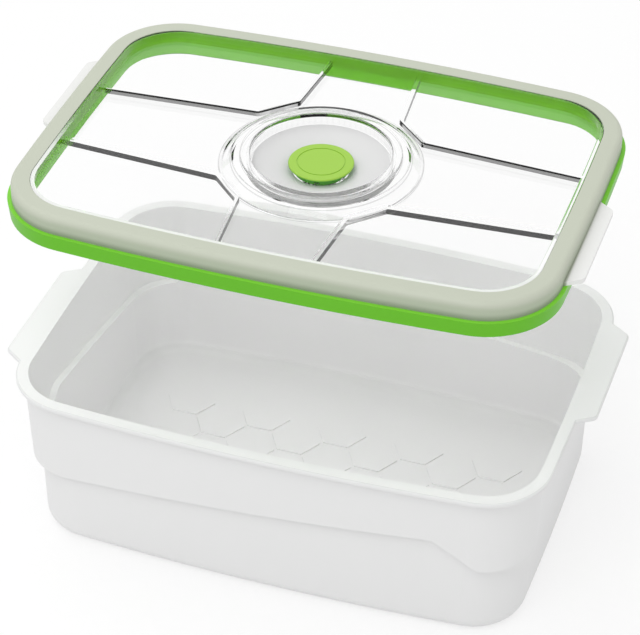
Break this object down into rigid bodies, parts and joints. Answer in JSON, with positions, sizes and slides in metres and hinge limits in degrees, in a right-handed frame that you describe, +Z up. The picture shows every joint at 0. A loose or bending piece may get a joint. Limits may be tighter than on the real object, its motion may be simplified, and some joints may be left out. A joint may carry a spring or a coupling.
{
  "type": "vacuum food storage box",
  "caption": "Rectangular food box with stepped sides and grips, and a clear lid with a green gasket, pump seat and sprung release button.",
  "frame": {"origin": "centre of the box's base, on the table", "axes": "+X along the box's length, towards the right-hand grip; +Z up through the lid's release button"},
  "size_m": [0.298, 0.1996, 0.2114],
  "materials": {
    "white_plastic": "satin moulded polypropylene",
    "frosted_plastic": "frosted translucent",
    "clear_plastic": "clear moulded copolyester",
    "green_silicone": "satin silicone",
    "grey_silicone": "matte silicone",
    "green_plastic": "satin",
    "spring_steel": "drawn stainless wire",
    "poppet_plastic": "satin",
    "washer_silicone": "matte silicone"
  },
  "bodies": {
    "box": {"box_body": "white_plastic"},
    "lid": {"lid_dish": "clear_plastic", "lid_rim": "frosted_plastic", "lid_gasket": "green_silicone", "valve_disc": "grey_silicone", "return_spring": "spring_steel"},
    "button": {"release_button": "green_plastic", "valve_poppet": "poppet_plastic", "poppet_washer": "washer_silicone"}
  },
  "joints": [
    {"name": "lid_lift", "type": "slide", "parent": "box", "child": "lid", "axis": [0, 0, 1], "range_m": [-0.0989, 0]},
    {"name": "button_press", "type": "slide", "parent": "lid", "child": "button", "axis": [0, 0, -1], "range_m": [0, 0.0016], "stiffness_N_per_m": 400, "deforming": ["return_spring"]}
  ]
}
